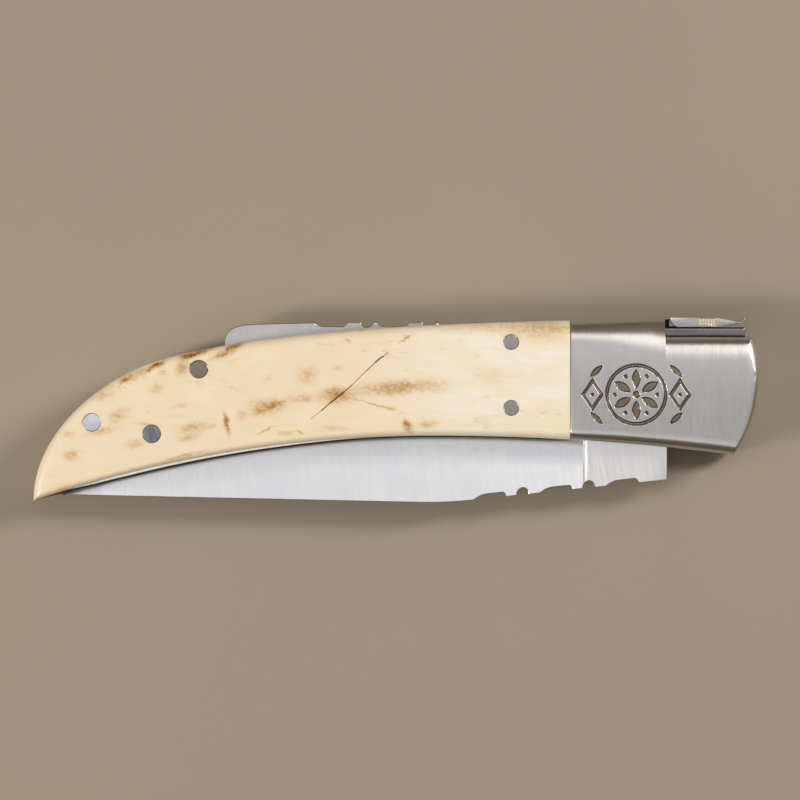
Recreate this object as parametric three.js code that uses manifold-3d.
// A folding pocket knife, closed: bone scales and steel bolsters on two steel liners, a blade with
// filework along its spine, and a back lock. The lock is a straight rocker bar that turns on a pin
// through the handle. A leaf spring in the tail pushes its rear end up and so holds its nose down
// on the blade's tang. A small lever forked over the nose lifts it: the lever's heel bears on the
// liners' edges as its lip is raised, and the blade is then free to turn.
//
// Millimetres. The knife lies on its left side: X runs along the handle towards the head, Y across
// it towards the back, and Z through its thickness. Everything in the drawing plane is placed from
// the blade's pivot, and everything through the thickness from the middle plane. The finished group
// is then set down on Z = 0 with its outline centred on the origin.

import * as THREE from "three";
import { mergeVertices } from "three/addons/utils/BufferGeometryUtils.js";
import Module from "manifold-3d";

const wasm = await Module();
wasm.setup();

// Layers through the thickness

const coreThickness = 3.0; // blade at its heel, and rocker bar
const coreClearance = 0.1; // between the core and a liner, each side
const linerThickness = 1.2;
const coverThickness = 3.9; // a bolster or a scale over its liner
const coverWall = 0.3; // upright part of a cover's edge, before it rounds over

const coreHalf = coreThickness / 2;
const linerInner = coreHalf + coreClearance;
const linerOuter = linerInner + linerThickness;
const handleHalf = linerOuter + coverThickness;

// Outline of the handle, from the pivot

const tailReach = 111.8; // pivot to the tail's tip, along the handle
const tailDrop = 17.2; // tail's tip below the pivot
const tailTipPull = 11; // how far the tail's end runs straight up before it bends
const shoulderInset = 22.1; // from the tail's tip to where the tail's sweep meets the back
const shoulderRise = 23.7; // and across the handle
const shoulderSlope = 0.257; // radians
const shoulderTailPull = 11.4;
const shoulderBackPull = 19;
const jointReach = 22.8; // pivot to the joint between scale and bolster
const jointHeight = 12.7; // back of the handle there
const jointPull = 19.5;
const bolsterRise = 0.022; // slope of the bolster's back, towards the head
const crestReach = 45.2; // highest point of the belly
const crestDrop = 6.4;
const bellyTailSagitta = 2.75; // of the belly's arc from the tail's tip to its crest
const bellyHeadRadius = 385; // of the belly's arc from its crest to the head
const linerReveal = 0.45; // how far the liners show past the scales, halfway along that first arc
const headReach = 8.4; // pivot to the front of the head
const headRadius = 22;
const headCentreHeight = 3.1;
const headTurn = 0.75; // radians of the head's arc, up and down

const tailTip = new THREE.Vector2(-tailReach, -tailDrop);
const shoulder = new THREE.Vector2(shoulderInset, shoulderRise).add(tailTip);
const jointTop = new THREE.Vector2(-jointReach, jointHeight);
const crest = new THREE.Vector2(-crestReach, -crestDrop);

// Width of the rounding that runs along each edge of the covers

const backRound = 3.6;
const bellyRoundTail = 1.4;
const bellyRoundHead = 2.8;
const headRound = 1.6;

// Notch in the head for the lever: the bolsters are cut lower than the liners

const notchReach = 7.0; // pivot back to the notch's rear wall
const linerTabHeight = 11.43;
const linerTabFront = 6.3;
const bolsterShelfHeight = 9.95;
const shelfRound = 1.6;

// Pins: radius, and the clearance round a fixed and a turning one

const pivotPinRadius = 1.5;
const pivotPinCover = 0.8; // metal left over its peened ends, which don't show
const rockerPinRadius = 1.28;
const tailPinRadius = 1.5;
const scalePinRadius = 1.28;
const stopPinRadius = 1.0;
const bolsterPinRadius = 0.8;
const leverPinRadius = 0.4;
const fixedClearance = 0.02;
const runningClearance = 0.05;

const frontPinSetback = 9.8; // from the joint back to the rocker's pin and the scales' front pin
const rockerPin = new THREE.Vector2(-jointReach - frontPinSetback, 9.1);
const scalePin = new THREE.Vector2(-jointReach - frontPinSetback, -1.8);
const tailPinOffsets = {
  tail_pin_rear: new THREE.Vector2(9.8, 13.0),
  tail_pin_middle: new THREE.Vector2(19.7, 11.1),
  tail_pin_front: new THREE.Vector2(27.5, 21.8),
}; // from the tail's tip
const bolsterPinInset = 4.6; // from the joint and from the head to a bolster's hidden pins
const bolsterPins = {
  rear: new THREE.Vector2(-jointReach + bolsterPinInset, 8.2),
  front: new THREE.Vector2(headReach - bolsterPinInset, -5.0),
};
const bolsterPinDepth = 2.2; // how far they reach into it

// Blade, as it stands open: tip towards +X, spine towards +Y

const tangRadius = 7.3;
const heelGap = 0.25; // between the rocker's nose and the heel's step
const heelReach = linerTabFront + heelGap; // pivot to that step
const heelHeight = 13.8; // spine at that step
const plungeReach = 20.3; // where the ricasso ends and the grind starts
const spineSlope = 0.1046; // from the heel to the spine's bend
const bendReach = 43.5;
const bendHalf = 4.5; // half the length of the bend
const tipInset = 4.3; // from the handle's tail to the blade's tip
const tipReach = tailReach - tipInset;
const tipRise = 0.9; // of the tip over the tail's tip, closed
const tipHeight = tailDrop - tipRise;
const ricassoHeight = 1.2; // edge side of the ricasso
const choilReach = 21.6; // where the cutting edge starts
const edgeHeight = 3.7;
const edgePull = 40.5;
const bellyPullX = 14.6;
const bellyPullY = 9.7;
const edgeThickness = 0.3;
const tipThickness = 1.0;
const tipBlunt = 0.3; // height left at the very tip
const taperPower = 1.5; // the spine thins slowly at first, and faster towards the tip
const grindOverlap = 1; // how far the ground part reaches into the ricasso
const lockFloor = 4.2; // floor of the lock's notch in the tang
const lockWallReach = 2.6; // its rear wall

// Filework: a long hollow and a small half-round one, in turn

const fileDepth = 0.9;
const longHollowRun = 0.95; // sloping end of a long hollow
const smallHollowRadius = 1.15;
const smallHollowRaise = 0.2; // its centre above the edge

const bladeHollowPitch = 11;
const bladeLongCount = 3;
const bladeLongFirst = 13.9; // pivot to the middle of the first long hollow
const bladeLongLength = 5.8;
const bladeSmallOffset = 5.6; // from a long hollow's middle to the small one's
const bladeHollowDepth = 1.0;

const rockerHollowPitch = 10.2;
const rockerLongCount = 4;
const rockerHollowInset = 17.7; // from the bar's rear end to the middle of the first long hollow
const rockerLongLength = 5.4;
const rockerSmallOffset = 5.9;

// Rocker bar

const rockerInset = 31.7; // from the handle's tail to its rear end
const rockerRear = tailReach - rockerInset;
const rockerSink = 0.25; // of its top below the handle's back, at the joint
const rockerTop = jointHeight - rockerSink;
const rockerDepth = 6.05;
const rockerUnder = rockerTop - rockerDepth;
const rockerRearCrown = 4.4; // length over which the top rounds down at the rear
const rockerRearEdge = 3.0; // height over which it does
const noseSink = 0.08; // of its top below the liners' tabs, where the lever lies over it
const noseTop = linerTabHeight - noseSink;
const noseStep = 0.45; // behind the notch, where that low part starts
const toothRear = 2.9; // pivot forward to the tooth's rear face
const toothUnder = 5.8;
const tangGap = 0.25; // between the tang and the tooth that rides on it
const toothReach = 1.35; // how far the tooth stands down from the hollow behind it

// Lever

const leverGap = 0.22; // between its heel and the liners' tabs
const leverUnder = linerTabHeight + leverGap;
const leverThickness = 1.52;
const leverTop = leverUnder + leverThickness;
const leverPinInset = 3.25; // from the notch's rear wall to the lever's pin
const leverPinRise = 0.75; // of the pin over the lever's underside
const leverTip = 6.35;
const camLift = 1.07; // how far the heel raises the pin for each radian that the lever turns
const camTurn = 1.44; // radians of the heel's curve
const gripRear = 0.7; // ribbed grip, pivot back to its rear end
const gripFront = 1.8; // and forward to its front end
const gripRibs = 6;
const gripDepth = 0.14;
const lipRoot = 4.9; // where the thin lip starts to curl up
const lipRise = 0.5; // of its underside there over the lever's underside
const lipThickness = 0.35;
const lugRadius = 0.75; // the rocker's lug round the lever's pin
const lugGap = 0.25;

// Tail: spacer and leaf spring

const spacerGap = 1.5; // between it and the bar's rear end
const spacerFront = rockerRear + spacerGap;
const bladeGap = 0.9; // between the blade's edge and the spacer
const leafThickness = 0.8;
const leafWidth = 2.8;
const leafClamp = 7.9; // length held in the spacer
const leafRoot = spacerFront + leafClamp;
const leafRootHeight = 1.6;
const leafArm = 20.5; // from the bar's pin back to the leaf's free end
const leafTip = leafArm - rockerPin.x;
const leafPull = 11; // how long each end of the bow runs nearly straight
const leafGap = 0.1; // under the rocker
const leafPadRadius = 1.2; // rounded pad at its free end

// Blade stop

const stopPinReach = 12;
const stopGap = 0.1; // between the pin and the ricasso

// Sampling

const runPoints = 30; // along each long curve
const roundSteps = 6; // round each edge
const circleSegments = 24;
const arcSegments = 24;
const smallArcSegments = 4; // each rounded end of a long hollow, and the lever's lip
const camSteps = 8;
const leafSteps = 14;

const steel = new THREE.MeshStandardMaterial({ color: 0xb9b8b4, roughness: 0.34, metalness: 1 });
const bladeSteel = new THREE.MeshStandardMaterial({ color: 0xd5d4d6, roughness: 0.3, metalness: 1 });
const springSteel = new THREE.MeshStandardMaterial({ color: 0xb6b5ba, roughness: 0.32, metalness: 1 });
const linerSteel = new THREE.MeshStandardMaterial({ color: 0x9a9ba2, roughness: 0.4, metalness: 1 });
const pinSteel = new THREE.MeshStandardMaterial({ color: 0x83848a, roughness: 0.35, metalness: 1 });
const bone = new THREE.MeshStandardMaterial({ color: 0xe8d8b4, roughness: 0.38, metalness: 0 });

// Solids: meshes to manifolds and back

function solidOf(geometry) {
  const bare = geometry.clone();
  bare.deleteAttribute("normal");
  bare.deleteAttribute("uv");
  const merged = mergeVertices(bare, 1e-4);
  return new wasm.Manifold(
    new wasm.Mesh({
      numProp: 3,
      vertProperties: merged.attributes.position.array,
      triVerts: new Uint32Array(merged.index.array),
    }),
  );
}

function geometryOf(solid) {
  const mesh = solid.getMesh();
  const geometry = new THREE.BufferGeometry();
  geometry.setAttribute("position", new THREE.BufferAttribute(mesh.vertProperties, 3));
  geometry.setIndex(new THREE.BufferAttribute(mesh.triVerts, 1));
  const faceted = geometry.toNonIndexed();
  faceted.computeVertexNormals();
  return faceted;
}

// The same shape on the other side of the middle plane.
function mirrored(solid) {
  const mesh = solid.getMesh();
  const vertProperties = mesh.vertProperties.map((value, i) => (i % 3 === 2 ? -value : value));
  const triVerts = mesh.triVerts.toReversed();
  return new wasm.Manifold(new wasm.Mesh({ numProp: 3, vertProperties, triVerts }));
}

function extrusion(shape, low, high, curveSegments = arcSegments) {
  const depth = high - low;
  return new THREE.ExtrudeGeometry(shape, { depth, bevelEnabled: false, curveSegments }).translate(0, 0, low);
}

function prism(shape, low, high) {
  return solidOf(extrusion(shape, low, high));
}

function box(lowX, highX, lowY, highY, lowZ, highZ) {
  const geometry = new THREE.BoxGeometry(highX - lowX, highY - lowY, highZ - lowZ);
  geometry.translate((lowX + highX) / 2, (lowY + highY) / 2, (lowZ + highZ) / 2);
  return solidOf(geometry);
}

function disc(centre, radius, low, high) {
  const circle = new THREE.Shape();
  circle.absarc(centre.x, centre.y, radius, 0, 2 * Math.PI);
  return extrusion(circle, low, high, circleSegments / 2);
}

function cylinder(centre, radius, low, high) {
  return solidOf(disc(centre, radius, low, high));
}

// A closed solid through outlines that have the same number of points, one at each height.
function loft(outlines, heights) {
  const count = outlines[0].length;
  const positions = outlines.flatMap((outline, i) => outline.flatMap((p) => [p.x, p.y, heights[i]]));
  const index = [];
  for (let i = 0; i + 1 < outlines.length; i++) {
    for (let k = 0; k < count; k++) {
      const a = i * count + k;
      const b = i * count + ((k + 1) % count);
      index.push(a, b, b + count, a, b + count, a + count);
    }
  }
  const top = (outlines.length - 1) * count;
  for (const [a, b, c] of THREE.ShapeUtils.triangulateShape(outlines[0], [])) index.push(a, c, b);
  for (const [a, b, c] of THREE.ShapeUtils.triangulateShape(outlines.at(-1), [])) {
    index.push(top + a, top + b, top + c);
  }
  const geometry = new THREE.BufferGeometry();
  geometry.setAttribute("position", new THREE.Float32BufferAttribute(positions, 3));
  geometry.setIndex(index);
  return solidOf(geometry);
}

// The handle's outline, as runs with the handle on their left: belly, head and back

const far = 60; // how far a run carries on past the handle

function direction(angle) {
  return new THREE.Vector2(Math.cos(angle), Math.sin(angle));
}

function along(point, angle, distance) {
  return direction(angle).multiplyScalar(distance).add(point);
}


// Points on an arc from start to end that bulges to its left by the sagitta.
function arcPoints(start, end, sagitta) {
  const chord = end.clone().sub(start);
  const half = chord.length() / 2;
  const radius = (half * half + sagitta * sagitta) / (2 * sagitta);
  const middle = start.clone().add(end).multiplyScalar(0.5);
  const across = new THREE.Vector2(-chord.y, chord.x).normalize();
  const centre = middle.addScaledVector(across, sagitta - radius);
  const halfTurn = Math.asin(half / radius);
  return Array.from({ length: runPoints + 1 }, (_, i) => {
    const turn = halfTurn * ((2 * i) / runPoints - 1);
    return across.clone().rotateAround(new THREE.Vector2(), -turn).multiplyScalar(radius).add(centre);
  });
}

function bellyHeadPoints() {
  const span = crestReach + headReach + bellyRoundHead;
  const steps = runPoints / 2;
  return Array.from({ length: steps }, (_, i) => {
    const ahead = (span * (i + 1)) / steps;
    const fall = bellyHeadRadius - Math.sqrt(bellyHeadRadius ** 2 - ahead ** 2);
    return crest.clone().add(new THREE.Vector2(ahead, -fall));
  });
}

function bellyRun(reveal) {
  return [...arcPoints(tailTip, crest, bellyTailSagitta - reveal), ...bellyHeadPoints()];
}

function headRun() {
  const centre = new THREE.Vector2(headReach - headRadius, headCentreHeight);
  return Array.from({ length: runPoints + 1 }, (_, i) =>
    along(centre, headTurn * ((2 * i) / runPoints - 1), headRadius),
  );
}

function backRun() {
  const tail = new THREE.CubicBezierCurve(
    shoulder,
    along(shoulder, shoulderSlope, -shoulderTailPull),
    along(tailTip, Math.PI / 2, tailTipPull),
    tailTip,
  );
  const back = new THREE.CubicBezierCurve(
    jointTop,
    along(jointTop, bolsterRise, -jointPull),
    along(shoulder, shoulderSlope, shoulderBackPull),
    shoulder,
  );
  const head = along(jointTop, bolsterRise, jointReach + headReach);
  return [head, ...back.getPoints(runPoints), ...tail.getPoints(runPoints).slice(1)];
}

// A run moved to its left, by a distance that may change along it, and carried straight on at both ends.
function inset(run, distance) {
  const last = run.length - 1;
  const moved = run.map((p, i) => {
    const ahead = run[Math.min(i + 1, last)].clone().sub(run[Math.max(i - 1, 0)]).normalize();
    return p.clone().addScaledVector(new THREE.Vector2(-ahead.y, ahead.x), distance(p));
  });
  const first = moved[0].clone().addScaledVector(moved[0].clone().sub(moved[1]).normalize(), far);
  const end = moved[last].clone().addScaledVector(moved[last].clone().sub(moved[last - 1]).normalize(), far);
  return [first, ...moved, end];
}

// Everything to the left of a run, closed round the far side through the given corners. Its two
// edges round over by the given width at the covers' faces, or stay square without one.
function side(run, corners, width) {
  if (!width) {
    const outline = [...inset(run, () => 0), ...corners];
    return loft([outline, outline], [-far, far]);
  }
  const wall = linerOuter + coverWall;
  const turns = Array.from({ length: roundSteps + 1 }, (_, i) => (i / roundSteps) * (Math.PI / 2));
  const levels = [...turns.toReversed().map((turn) => [turn, -1]), ...turns.map((turn) => [turn, 1])];
  return loft(
    levels.map(([turn]) => [...inset(run, (p) => width(p) * (1 - Math.cos(turn))), ...corners]),
    levels.map(([turn, sign]) => sign * (wall + (handleHalf - wall) * Math.sin(turn))),
  );
}

const reach = tailReach + far;
const aboveHandle = [new THREE.Vector2(reach, reach), new THREE.Vector2(-reach, reach)];
const belowHandle = [new THREE.Vector2(-reach, -reach), new THREE.Vector2(reach, -reach)];
const behindHead = [new THREE.Vector2(-reach, reach), new THREE.Vector2(-reach, -reach)];

function bellyRound(p) {
  const share = THREE.MathUtils.clamp((p.x + tailReach) / (tailReach + headReach), 0, 1);
  return THREE.MathUtils.lerp(bellyRoundTail, bellyRoundHead, share);
}

// The outer shape that covers and pins share, and the square-edged one that the liners have.
const roundedHandle = side(bellyRun(0), aboveHandle, bellyRound)
  .intersect(side(headRun(), behindHead, () => headRound))
  .intersect(side(backRun(), belowHandle, () => backRound));
const squareBack = side(backRun(), belowHandle);
const squareHandle = side(bellyRun(linerReveal), aboveHandle)
  .intersect(side(headRun(), behindHead))
  .intersect(squareBack);

// Pins: each is a cylinder, ground to the handle's own surface where it comes out

function pin(centre, radius) {
  return cylinder(centre, radius, -far, far).intersect(roundedHandle);
}

function bore(centre, radius, clearance) {
  return cylinder(centre, radius + clearance, -far, far);
}

const pivot = new THREE.Vector2(0, 0);
const pivotPinEnd = handleHalf - pivotPinCover;
const stopPin = new THREE.Vector2(-stopPinReach, -ricassoHeight + stopGap + stopPinRadius);
const tailPins = Object.entries(tailPinOffsets).map(([name, offset]) => [name, tailTip.clone().add(offset)]);
const leverPin = new THREE.Vector2(-notchReach + leverPinInset, leverUnder + leverPinRise);

const bores = {
  pivot: cylinder(pivot, pivotPinRadius + fixedClearance, -far, pivotPinEnd + fixedClearance),
  rocker: bore(rockerPin, rockerPinRadius, fixedClearance),
  scale: bore(scalePin, scalePinRadius, fixedClearance),
  stop: bore(stopPin, stopPinRadius, fixedClearance),
  tail: tailPins.map(([, centre]) => bore(centre, tailPinRadius, fixedClearance)),
  bolster: Object.values(bolsterPins).map((centre) =>
    cylinder(centre, bolsterPinRadius + fixedClearance, -far, linerOuter + bolsterPinDepth + fixedClearance),
  ),
};

function cut(solid, tools) {
  return tools.reduce((left, tool) => left.subtract(tool), solid);
}

// Right-hand covers and liner. The left-hand ones mirror them.

function liner() {
  const plate = squareHandle.intersect(box(-reach, reach, -reach, reach, linerInner, linerOuter));
  const overTab = box(-notchReach, reach, linerTabHeight, reach, -far, far);
  const beforeTab = box(linerTabFront, reach, bolsterShelfHeight, reach, -far, far);
  const holes = [bores.pivot, bores.rocker, bores.scale, bores.stop, ...bores.tail, ...bores.bolster];
  return cut(plate, [overTab, beforeTab, ...holes]);
}

function scale() {
  const blank = roundedHandle.intersect(box(-reach, -jointReach, -reach, reach, linerOuter, far));
  return cut(blank, [bores.rocker, bores.scale, ...bores.tail]);
}

function bolster() {
  const blank = roundedHandle.intersect(box(-jointReach, reach, -reach, reach, linerOuter, far));
  const shelf = [new THREE.Vector2(reach, bolsterShelfHeight), new THREE.Vector2(-reach, bolsterShelfHeight)];
  const notch = box(-notchReach, reach, -reach, reach, -far, far);
  const aboveShelf = notch.subtract(side(shelf, belowHandle, () => shelfRound));
  return cut(blank, [aboveShelf, bores.pivot, ...bores.bolster]);
}

// Blade

// Height of the spine: two straight stretches with a bend between them.
function spineHeight(x) {
  const low = bendReach - bendHalf;
  const high = bendReach + bendHalf;
  const start = heelHeight + spineSlope * (low - heelReach);
  const fall = (tipHeight - start - spineSlope * bendHalf) / (tipReach - bendReach);
  if (x <= low) return heelHeight + spineSlope * (x - heelReach);
  if (x >= high) return tipHeight + fall * (x - tipReach);
  const share = (x - low) / (high - low);
  return start + (high - low) * (spineSlope * share + ((fall - spineSlope) * share * share) / 2);
}

const edgeCurve = new THREE.CubicBezierCurve(
  new THREE.Vector2(choilReach, edgeHeight),
  new THREE.Vector2(choilReach + edgePull, edgeHeight),
  new THREE.Vector2(tipReach - bellyPullX, tipHeight - bellyPullY),
  new THREE.Vector2(tipReach, tipHeight - tipBlunt),
);

// Tang and ricasso: a flat plate. Its rounded end turns under the rocker, and the notch behind its
// heel is what the rocker's tooth drops into when the blade is open.
function tang() {
  const lockWall = Math.acos(lockWallReach / tangRadius);
  const ricasso = Math.asin(ricassoHeight / tangRadius);
  const outline = new THREE.Shape();
  outline.moveTo(plungeReach, ricassoHeight);
  outline.lineTo(plungeReach, spineHeight(plungeReach));
  outline.lineTo(heelReach, heelHeight);
  outline.lineTo(heelReach, lockFloor);
  outline.lineTo(lockWallReach, lockFloor);
  outline.absarc(0, 0, tangRadius, lockWall, ricasso + 2 * Math.PI, false);
  return prism(outline, -coreHalf, coreHalf);
}

// Ground part: sections across the blade that narrow from the spine to the edge.
function grind() {
  const rooted = { x: plungeReach - grindOverlap, edge: edgeHeight };
  const stations = [rooted, { x: plungeReach, edge: edgeHeight }];
  for (const p of edgeCurve.getPoints(runPoints)) stations.push({ x: p.x, edge: p.y });
  const positions = [];
  for (const { x, edge } of stations) {
    const share = Math.max(0, (x - plungeReach) / (tipReach - plungeReach));
    const back = THREE.MathUtils.lerp(coreHalf, tipThickness / 2, share ** taperPower);
    const top = spineHeight(x);
    positions.push(x, edge, -edgeThickness / 2, x, edge, edgeThickness / 2, x, top, back, x, top, -back);
  }
  const index = [0, 1, 2, 0, 2, 3];
  for (let i = 0; i + 1 < stations.length; i++) {
    for (let k = 0; k < 4; k++) {
      const a = 4 * i + k;
      const b = 4 * i + ((k + 1) % 4);
      index.push(a, a + 4, b + 4, a, b + 4, b);
    }
  }
  const end = 4 * (stations.length - 1);
  index.push(end, end + 2, end + 1, end, end + 3, end + 2);
  const geometry = new THREE.BufferGeometry();
  geometry.setAttribute("position", new THREE.Float32BufferAttribute(positions, 3));
  geometry.setIndex(index);
  return solidOf(geometry);
}

// A long hollow filed into an edge that lies along Y = 0 with the metal below it.
function longHollow(length, depth) {
  const shape = new THREE.Shape();
  shape.moveTo(-length / 2, 0);
  shape.quadraticCurveTo(-length / 2 + longHollowRun / 3, -depth, -length / 2 + longHollowRun, -depth);
  shape.lineTo(length / 2 - longHollowRun, -depth);
  shape.quadraticCurveTo(length / 2 - longHollowRun / 3, -depth, length / 2, 0);
  shape.lineTo(length / 2, depth);
  shape.lineTo(-length / 2, depth);
  return extrusion(shape, -far, far, smallArcSegments);
}

function smallHollow() {
  return disc(new THREE.Vector2(0, smallHollowRaise), smallHollowRadius, -far, far);
}

// The hollows along an edge: each long one is followed by a small one, apart from the last.
function hollows({ first, pitch, count, length, offset, depth, height, slope }) {
  const place = (hollow, x) => solidOf(hollow.rotateZ(slope).translate(x, height(x), 0));
  const placed = Array.from({ length: count }, (_, i) => {
    const x = first + i * pitch;
    return [place(longHollow(length, depth), x), place(smallHollow(), x + offset)];
  });
  return placed.flat().slice(0, -1);
}

function blade() {
  const filework = hollows({
    first: bladeLongFirst,
    pitch: bladeHollowPitch,
    count: bladeLongCount,
    length: bladeLongLength,
    offset: bladeSmallOffset,
    depth: bladeHollowDepth,
    height: spineHeight,
    slope: Math.atan(spineSlope),
  });
  const hole = bore(pivot, pivotPinRadius, runningClearance);
  return cut(tang().add(grind()), [hole, ...filework]);
}

// Rocker bar: hollowed over the tang, with a tooth behind its nose that rides on the tang, and a
// lug on top for the lever's pin

function rocker() {
  const saddle = tangRadius + tangGap;
  const hollow = saddle + toothReach;
  const bar = new THREE.Shape();
  bar.moveTo(-rockerRear, rockerUnder);
  bar.lineTo(-Math.sqrt(hollow ** 2 - rockerUnder ** 2), rockerUnder);
  bar.absarc(0, 0, hollow, Math.PI - Math.asin(rockerUnder / hollow), Math.acos(toothRear / hollow), true);
  bar.lineTo(toothRear, Math.sqrt(saddle ** 2 - toothRear ** 2));
  bar.absarc(0, 0, saddle, Math.acos(toothRear / saddle), Math.asin(toothUnder / saddle), true);
  bar.lineTo(linerTabFront, toothUnder);
  bar.lineTo(linerTabFront, noseTop);
  bar.lineTo(-notchReach - noseStep, noseTop);
  bar.lineTo(-notchReach - noseStep, rockerTop);
  bar.lineTo(-rockerRear + rockerRearCrown, rockerTop);
  bar.quadraticCurveTo(-rockerRear, rockerTop, -rockerRear, rockerTop - rockerRearEdge);
  const filework = hollows({
    first: -rockerRear + rockerHollowInset,
    pitch: rockerHollowPitch,
    count: rockerLongCount,
    length: rockerLongLength,
    offset: rockerSmallOffset,
    depth: fileDepth,
    height: () => rockerTop,
    slope: 0,
  });
  const lug = new THREE.Shape();
  lug.moveTo(leverPin.x + lugRadius, noseTop - lugRadius);
  lug.absarc(leverPin.x, leverPin.y, lugRadius, 0, Math.PI);
  lug.lineTo(leverPin.x - lugRadius, noseTop - lugRadius);
  const holes = [
    bore(rockerPin, rockerPinRadius, runningClearance),
    bore(leverPin, leverPinRadius, fixedClearance),
  ];
  return cut(prism(bar, -coreHalf, coreHalf).add(prism(lug, -coreHalf, coreHalf)), [...filework, ...holes]);
}

// Lever: a plate as wide as the liners, forked round the rocker's lug at its rear, thinning to a lip

// The heel's curve: turned by an angle, its lowest point lies camLift times that angle lower.
function camPoint(turn) {
  const drop = leverPinRise + camLift * turn;
  const down = new THREE.Vector2(-Math.sin(turn), -Math.cos(turn));
  const back = new THREE.Vector2(-Math.cos(turn), Math.sin(turn));
  return leverPin.clone().addScaledVector(down, drop).addScaledVector(back, camLift);
}

function lever() {
  const lipUnder = leverUnder + lipRise;
  const heel = Array.from({ length: camSteps + 1 }, (_, i) => camPoint((1 - i / camSteps) * camTurn));
  const plate = new THREE.Shape();
  plate.moveTo(heel[0].x, leverTop);
  for (const p of heel) plate.lineTo(p.x, p.y);
  plate.lineTo(gripFront, leverUnder);
  plate.lineTo(lipRoot, lipUnder);
  plate.quadraticCurveTo(leverTip, lipUnder, leverTip, leverTop);
  plate.quadraticCurveTo(leverTip - lipThickness, lipUnder + lipThickness, lipRoot, lipUnder + lipThickness);
  plate.lineTo(gripFront, leverTop);
  const rib = (gripRear + gripFront) / gripRibs;
  for (let i = 0; i < gripRibs; i++) {
    plate.lineTo(gripFront - (i + 0.5) * rib, leverTop - gripDepth);
    plate.lineTo(gripFront - (i + 1) * rib, leverTop);
  }
  const forkFront = leverPin.x + lugRadius + lugGap;
  const fork = box(-notchReach, forkFront, -far, far, -linerInner, linerInner);
  const hole = bore(leverPin, leverPinRadius, runningClearance);
  return cut(solidOf(extrusion(plate, -linerOuter, linerOuter, smallArcSegments)), [fork, hole]);
}

// Tail

// Leaf spring: clamped in the spacer, bowed up to a rounded pad under the rocker.
function leafSpring() {
  const mouth = new THREE.Vector2(-spacerFront, leafRootHeight);
  const pad = new THREE.Vector2(-leafTip, rockerUnder - leafGap - leafPadRadius);
  const bow = new THREE.CubicBezierCurve(mouth, along(mouth, 0, leafPull), along(pad, 0, -leafPull), pad);
  const middle = [new THREE.Vector2(-leafRoot, leafRootHeight), ...bow.getPoints(leafSteps)];
  const under = inset(middle, () => -leafThickness / 2).slice(1, -1);
  const over = inset(middle, () => leafThickness / 2).slice(1, -1);
  const strip = prism(new THREE.Shape([...under, ...over.toReversed()]), -leafWidth / 2, leafWidth / 2);
  return strip.add(cylinder(pad, leafPadRadius, -leafWidth / 2, leafWidth / 2));
}

// What the closed blade needs clear: its edge, grown by the gap, and everything on the spine's side.
function bladeRoom() {
  const edge = edgeCurve.getPoints(runPoints).map((p) => p.multiplyScalar(-1));
  const clear = inset(edge.toReversed(), () => bladeGap);
  return prism(new THREE.Shape([...clear, ...belowHandle.toReversed()]), -far, far);
}

function spacer() {
  const blank = squareBack
    .intersect(side(bellyRun(0), aboveHandle))
    .intersect(box(-reach, -spacerFront, -reach, reach, -linerInner, linerInner));
  const slot = box(
    -leafRoot - leafGap, reach,
    leafRootHeight - leafThickness / 2 - fixedClearance, leafRootHeight + leafThickness / 2 + fixedClearance,
    -far, far,
  );
  return cut(blank, [bladeRoom(), slot, ...bores.tail]);
}

// Assembly

const group = new THREE.Group();

function add(name, solid, material, turn = 0) {
  const mesh = new THREE.Mesh(geometryOf(solid), material);
  mesh.name = name;
  mesh.rotation.z = turn;
  group.add(mesh);
  return mesh;
}

function addPair(name, solid, material) {
  add(`right_${name}`, solid, material);
  add(`left_${name}`, mirrored(solid), material);
}

addPair("liner", liner(), linerSteel);
addPair("bolster", bolster(), steel);
addPair("scale", scale(), bone);
for (const [place, centre] of Object.entries(bolsterPins)) {
  const end = linerOuter + bolsterPinDepth;
  addPair(`bolster_pin_${place}`, cylinder(centre, bolsterPinRadius, linerInner, end), pinSteel);
}

add("blade_pivot_pin", cylinder(pivot, pivotPinRadius, -pivotPinEnd, pivotPinEnd), pinSteel);
add("rocker_pin", pin(rockerPin, rockerPinRadius), pinSteel);
add("scale_pin", pin(scalePin, scalePinRadius), pinSteel);
for (const [name, centre] of tailPins) add(name, pin(centre, tailPinRadius), pinSteel);
add("stop_pin", cylinder(stopPin, stopPinRadius, -linerOuter, linerOuter), pinSteel);
add("tail_spacer", spacer(), linerSteel);
add("leaf_spring", leafSpring(), springSteel);

add("blade", blade(), bladeSteel, Math.PI);
add("rocker_bar", rocker(), springSteel);
add("lift_lever", lever(), springSteel);
add("lever_pin", cylinder(leverPin, leverPinRadius, -linerOuter, linerOuter), pinSteel);

// Set down on its left side, centred on the origin
const bounds = new THREE.Box3().setFromObject(group);
const middle = bounds.getCenter(new THREE.Vector3());
group.position.set(-middle.x, -middle.y, -bounds.min.z);

export default group;
